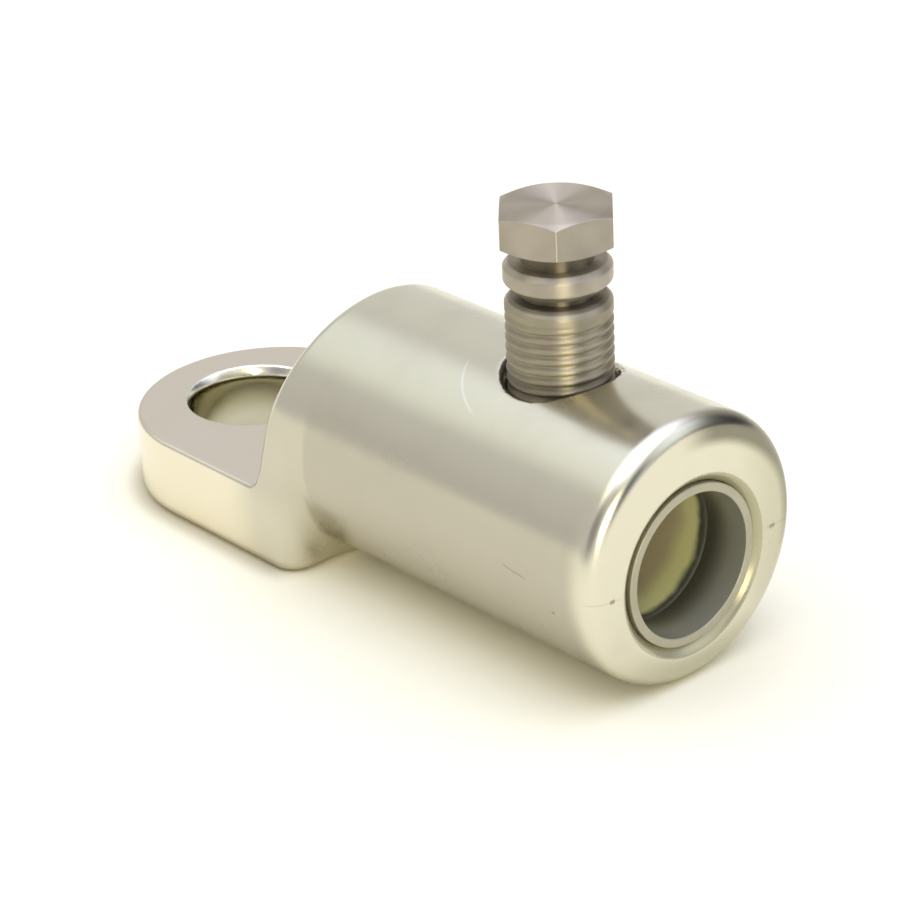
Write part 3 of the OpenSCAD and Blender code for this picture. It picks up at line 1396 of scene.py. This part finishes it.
@dataclass
class ShearBolt:
    """Turned bolt with a fine thread, two shear necks, a collar and a hexagon head.

    Sizes are in millimetres.
    """

    axis_x: float
    tip_z: float
    top_z: float
    thread_r: float = 4.9
    thread_top: float = 33.2
    thread_chamfer: float = 0.6
    tip_chamfer: float = 0.9
    pitch: float = 1.0
    thread_depth: float = 0.34
    flank: tuple[float, float] = (0.13, 0.87)
    thread_start: float = 1.5
    run_out: float = 1.3
    neck_r: float = 3.3
    lower_neck: float = 0.85
    upper_neck: float = 1.7
    collar_r: float = 4.95
    collar_h: float = 2.45
    collar_top: float = 0.5
    collar_low: float = 0.7
    head_flat_r: float = 5.0
    head_face_r: float = 4.9
    head_edge_drop: float = 0.35
    head_past: float = 1.2
    head_turn: float = np.radians(16.0)
    corner_round: float = 0.18
    edge: float = 0.12
    hub_r: float = 0.6
    # gap_shade_to and gap_shade_soft bound the painted shade on the thread where the bolt stands in the gap.
    gap_shade_to: float = 26.4
    gap_shade_soft: float = 0.8
    low_neck_soft: float = 0.1
    high_neck_soft: float = 0.08
    columns: int = 240
    rows_per_turn: int = 12
    head_rows: int = 16

    @classmethod
    def from_frame(cls) -> "ShearBolt":
        """Read the bolt's place and height from its node."""
        low, high = node_box("shear_bolt")
        return cls(axis_x=(low[0] + high[0]) / 2, tip_z=low[2], top_z=high[2])

    @property
    def collar_z(self) -> float:
        """Underside of the collar."""
        return self.thread_top + self.lower_neck

    @property
    def head_z(self) -> float:
        """Underside of the head."""
        return self.collar_z + self.collar_h + self.upper_neck

    def outline(self) -> Array:
        """Half section from the tip to the head's top, with fine rows on the thread.

        The head's chamfers run on past its corners, where the hexagon cuts them off.

        Returns:
            Points of the section, as radius and height.
        """
        arc = self.edge
        collar_z, head_z, top_z = self.collar_z, self.head_z, self.top_z
        collar_top_z = collar_z + self.collar_h
        corner_r = self.head_flat_r / np.cos(np.pi / 6)
        first, last = self.tip_z + self.thread_start, self.thread_top - self.thread_chamfer - arc
        low = rounded_profile([
            (self.hub_r, self.tip_z, 0.0), (self.thread_r - self.tip_chamfer, self.tip_z, arc),
            (self.thread_r, self.tip_z + self.tip_chamfer, arc), (self.thread_r, first, 0.0)])
        rows = int((last - first) / self.pitch * self.rows_per_turn)
        heights = np.linspace(first, last, rows)[1:-1]
        thread = np.stack([np.full(len(heights), self.thread_r), heights], axis=1)
        high = rounded_profile([
            (self.thread_r, last, 0.0), (self.thread_r, self.thread_top - self.thread_chamfer, arc),
            (self.thread_r - self.thread_chamfer, self.thread_top, arc), (self.neck_r, self.thread_top, arc),
            (self.neck_r, collar_z, arc), (self.collar_r - self.collar_low, collar_z, arc),
            (self.collar_r, collar_z + self.collar_low, arc),
            (self.collar_r, collar_top_z - self.collar_top, arc),
            (self.collar_r - self.collar_top, collar_top_z, arc), (self.neck_r, collar_top_z, arc),
            (self.neck_r, head_z, arc), (self.head_face_r, head_z, arc)])
        past_r = self.head_face_r + self.head_past * (corner_r - self.head_face_r)
        past_h = self.head_past * self.head_edge_drop
        stops = [(self.head_face_r, head_z), (past_r, head_z + past_h), (past_r, top_z - past_h),
                 (self.head_face_r, top_z), (self.hub_r, top_z)]
        head = [np.linspace(a, b, self.head_rows)[1:] for a, b in zip(stops[:-1], stops[1:])]
        return np.concatenate([low, thread, high, *head])

    def hexagon(self, turn: Array) -> Array:
        """Radius of the rounded hexagon in each direction.

        On a flat it is the flat's distance over the cosine of the angle from the flat's middle. Near a
        corner it is the far crossing of the ray with the corner's small circle.

        Args:
            turn: Directions about the bolt's axis.

        Returns:
            The radius in each direction.
        """
        sixth = np.pi / 3
        off = np.abs((turn - self.head_turn + sixth / 2) % sixth - sixth / 2)
        flat = self.head_flat_r / np.cos(sixth / 2 - off)
        hub = (self.head_flat_r - self.corner_round) / np.cos(sixth / 2)
        aside = np.minimum(hub * np.sin(off), self.corner_round)
        arc = hub * np.cos(off) + np.sqrt(self.corner_round ** 2 - aside ** 2)
        limit = sixth / 2 - np.arctan2(hub * np.sin(sixth / 2), self.head_flat_r)
        return np.where(off < limit, arc, flat)

    def thread_cut(self, turn: Array, height: Array) -> Array:
        """Depth of the thread's groove: an eased wave along the helix, faded out at both ends.

        Args:
            turn: Directions about the bolt's axis.
            height: Heights.

        Returns:
            The depth at each direction and height.
        """
        phase = (height / self.pitch - turn / (2 * np.pi)) % 1.0
        wave = smooth_step(*self.flank, np.abs(phase - 0.5) * 2)
        stop = self.thread_top - self.run_out
        fade = 1.0 - smooth_step(stop - self.run_out / 2, stop, height)
        return self.thread_depth * wave * fade * smooth_step(self.tip_z, self.tip_z + self.pitch, height)

    def build(self) -> bpy.types.Object:
        """Carry the outline round the bolt's axis, cut it, and let the mesh stand for its node.

        A point at angle t and outline radius r lies at r' (cos t, sin t). Up the thread r' is the lesser of
        r and the thread's radius less its groove, and above it the lesser of r and the hexagon's radius.

        Returns:
            The piece.
        """
        outline = self.outline()
        rows = len(outline)
        turn = self.head_turn + np.linspace(0.0, 2 * np.pi, self.columns, endpoint=False)
        radius, height = outline[:, :1], outline[:, 1:]
        groove = np.minimum(radius, self.thread_r - self.thread_cut(turn, height))
        reach = np.where(height < self.thread_top, groove, np.minimum(radius, self.hexagon(turn)))
        parts = np.broadcast_arrays(self.axis_x + reach * np.cos(turn), reach * np.sin(turn), height)
        points = np.stack(parts, axis=-1).reshape(-1, 3)
        hubs = np.array([[self.axis_x, 0.0, self.tip_z], [self.axis_x, 0.0, self.top_z]])
        count = rows * self.columns
        faces = [ring_faces(rows, self.columns), fan_faces(count, 0, self.columns, False),
                 fan_faces(count + 1, count - self.columns, self.columns, True)]
        piece = new_mesh("shear_bolt_turned", np.concatenate([points, hubs]), faces)
        return stand_for(piece, "shear_bolt", "bolt")

    def dress(self, piece: bpy.types.Object) -> None:
        """Give the bolt its turned brown-grey metal, with painted shade at the necks and low on the thread
        where it stands in the gap.

        Args:
            piece: The bolt's mesh object.
        """
        # Painted shade: at both necks, and on the thread from its tip up through the gap round it.
        low_neck = Band(self.thread_top - self.thread_chamfer / 2,
                        self.collar_z + self.collar_low - self.low_neck_soft, self.low_neck_soft)
        high_neck = Band(self.collar_z + self.collar_h, self.head_z, self.high_neck_soft)
        greased = Band(self.tip_z, self.gap_shade_to, self.gap_shade_soft)
        metal = TurnedMetal(name="bolt_metal", axis=Axis.Z, bright=(0.49, 0.44, 0.36),
                            dull=(0.39, 0.35, 0.255), rough=0.40, rings=0.08, spun=0.94,
                            dull_below=self.thread_top, shaded_bands=(greased, low_neck, high_neck))
        piece.data.materials.append(metal.material())


@dataclass(frozen=True)
class SoftPanel:
    """A soft round patch of light or shade in the surroundings. Angles are in degrees."""

    azimuth: float
    elevation: float
    inner: float
    outer: float
    colour: Colour

    def direction(self) -> Vector:
        """Unit vector to the patch: azimuth 0 is +X and 90 is +Y."""
        turn, lift = np.radians(self.azimuth), np.radians(self.elevation)
        return Vector((np.cos(lift) * np.cos(turn), np.cos(lift) * np.sin(turn), np.sin(lift)))


@dataclass
class Studio:
    """Pale floor, soft surroundings and the camera. Lengths are in millimetres and angles in degrees."""

    mouth_x: float
    aim_back: float = 31.92
    aim_y: float = -0.38
    aim_z: float = 12.36
    turn: float = 40.89
    lift: float = 26.57
    roll: float = -2.78
    distance: float = 312.92
    lens: float = 132.0
    clip_near: float = 10.0
    floor_half: float = 1500.0
    floor_colour: Colour = (0.93, 0.90, 0.74)
    floor_rough: float = 0.9
    floor_gloss: float = 0.2
    contact_colour: Colour = (0.60, 0.56, 0.43)
    contact_reach: float = 3.0
    contact_back: float = 41.0
    contact_front: Fade = Fade(-4.0, 0.5)
    contact_open: Fade = Fade(0.5, 0.98)
    contact_samples: int = 16
    ambient: Colour = (0.66, 0.65, 0.64)
    panels: tuple[SoftPanel, ...] = (
        SoftPanel(0.0, 90.0, 15.0, 45.0, (0.95, 1.0, 1.45)),
        SoftPanel(-15.0, 64.0, 8.0, 30.0, (1.0, 1.1, 1.2)),
        SoftPanel(70.0, 58.0, 8.0, 32.0, (0.3, 0.3, 0.5)),
        SoftPanel(42.0, 30.0, 8.0, 28.0, (0.5, 0.6, 0.7)),
        SoftPanel(-33.0, 17.0, 6.0, 17.0, (6.5, 5.9, 4.2)),
        SoftPanel(-165.0, 47.0, 8.0, 26.0, (0.3, 0.35, 0.35)),
        SoftPanel(-115.0, 58.0, 6.0, 24.0, (1.1, 1.05, 0.8)),
        SoftPanel(135.0, 22.0, 10.0, 35.0, (0.15, 0.15, 0.15)),
        SoftPanel(-1.0, 18.0, 5.0, 18.0, (-0.6, -0.57, -0.5)),
        SoftPanel(-40.0, 44.0, 4.0, 16.0, (-0.3, -0.35, -0.45)),
        SoftPanel(65.0, 4.0, 10.0, 32.0, (-0.55, -0.55, -0.5)),
        SoftPanel(-82.0, 22.0, 8.0, 26.0, (-0.35, -0.35, -0.33)),
    )

    def build(self) -> None:
        """Make the floor, the surroundings and the camera."""
        self._floor()
        self._surroundings()
        self._camera()

    def _floor(self) -> None:
        """Lay a pale sheet under the lug, with a soft shade where the palm touches it."""
        half = self.floor_half
        points = np.array([[-half, -half, 0.0], [half, -half, 0.0], [half, half, 0.0], [-half, half, 0.0]])
        floor = new_mesh("floor", points, [np.array([[0, 1, 2, 3]])])
        material = bpy.data.materials.new("floor_sheet")
        material.use_nodes = True
        shader = material.node_tree.nodes["Principled BSDF"]
        board = NodeBoard(material.node_tree)
        near = board.add("ShaderNodeAmbientOcclusion", samples=self.contact_samples)
        board.feed(near, Distance=self.contact_reach * MM)
        along = board.apart(board.add("ShaderNodeTexCoord").outputs["Object"])[0]
        ahead = board.fade(along, self.contact_front, (self.mouth_x - self.contact_back) * MM, MM)
        clear = board.math("MAXIMUM", board.fade(near.outputs["AO"], self.contact_open), ahead)
        colour = board.mix(clear, self.contact_colour, self.floor_colour)
        board.feed(shader, Base_Color=colour, Roughness=self.floor_rough,
                   Specular_IOR_Level=self.floor_gloss)
        floor.data.materials.append(material)

    def _surroundings(self) -> None:
        """Paint the world: a plain tone and the soft patches added over it."""
        world = bpy.data.worlds.new("studio")
        bpy.context.scene.world = world
        world.use_nodes = True
        board = NodeBoard(world.node_tree)
        way = board.add("ShaderNodeTexCoord").outputs["Generated"]
        colour = self.ambient
        for panel in self.panels:
            facing = board.add("ShaderNodeVectorMath", operation="DOT_PRODUCT")
            board.fill(facing, way, panel.direction())
            edge, middle = np.cos(np.radians([panel.outer, panel.inner]))
            glow = board.add("ShaderNodeVectorMath", operation="MULTIPLY_ADD")
            share = board.ramp(facing.outputs["Value"], edge, middle)
            colour = board.fill(glow, share, panel.colour, colour)
        board.feed(world.node_tree.nodes["Background"], Color=colour)

    def _camera(self) -> None:
        """Stand the camera at the viewing angle, turned, lifted and rolled about its aim."""
        turn, lift, roll = np.radians([self.turn, self.lift, self.roll])
        back = np.array([np.cos(lift) * np.cos(turn), -np.cos(lift) * np.sin(turn), np.sin(lift)])
        right = np.array([np.sin(turn), np.cos(turn), 0.0])
        up = np.cross(back, right)
        sideways = np.cos(roll) * right + np.sin(roll) * up
        upwards = -np.sin(roll) * right + np.cos(roll) * up
        aim = np.array([self.mouth_x - self.aim_back, self.aim_y, self.aim_z])
        place = (aim + back * self.distance) * MM
        lens = bpy.data.cameras.new("camera")
        lens.lens = self.lens
        lens.clip_start = self.clip_near * MM
        camera = bpy.data.objects.new("camera", lens)
        bpy.context.scene.collection.objects.link(camera)
        turned = np.stack([sideways, upwards, back, place], axis=1)
        camera.matrix_world = Matrix([*turned.tolist(), [0.0, 0.0, 0.0, 1.0]])
        bpy.context.scene.camera = camera
        bpy.context.scene.view_settings.view_transform = "Standard"


def main() -> None:
    """Build the studio and the lug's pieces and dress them."""
    logging.basicConfig(level=logging.INFO, format="%(name)s: %(message)s")
    body = LugBody.from_frame()
    Studio(body.mouth_x).build()
    for part in (body, CentringRing.from_frame(), ShearBolt.from_frame()):
        piece = part.build()
        part.dress(piece)
        log.info("%s: %d faces", piece.name, len(piece.data.polygons))


if __name__ == "__main__":
    main()
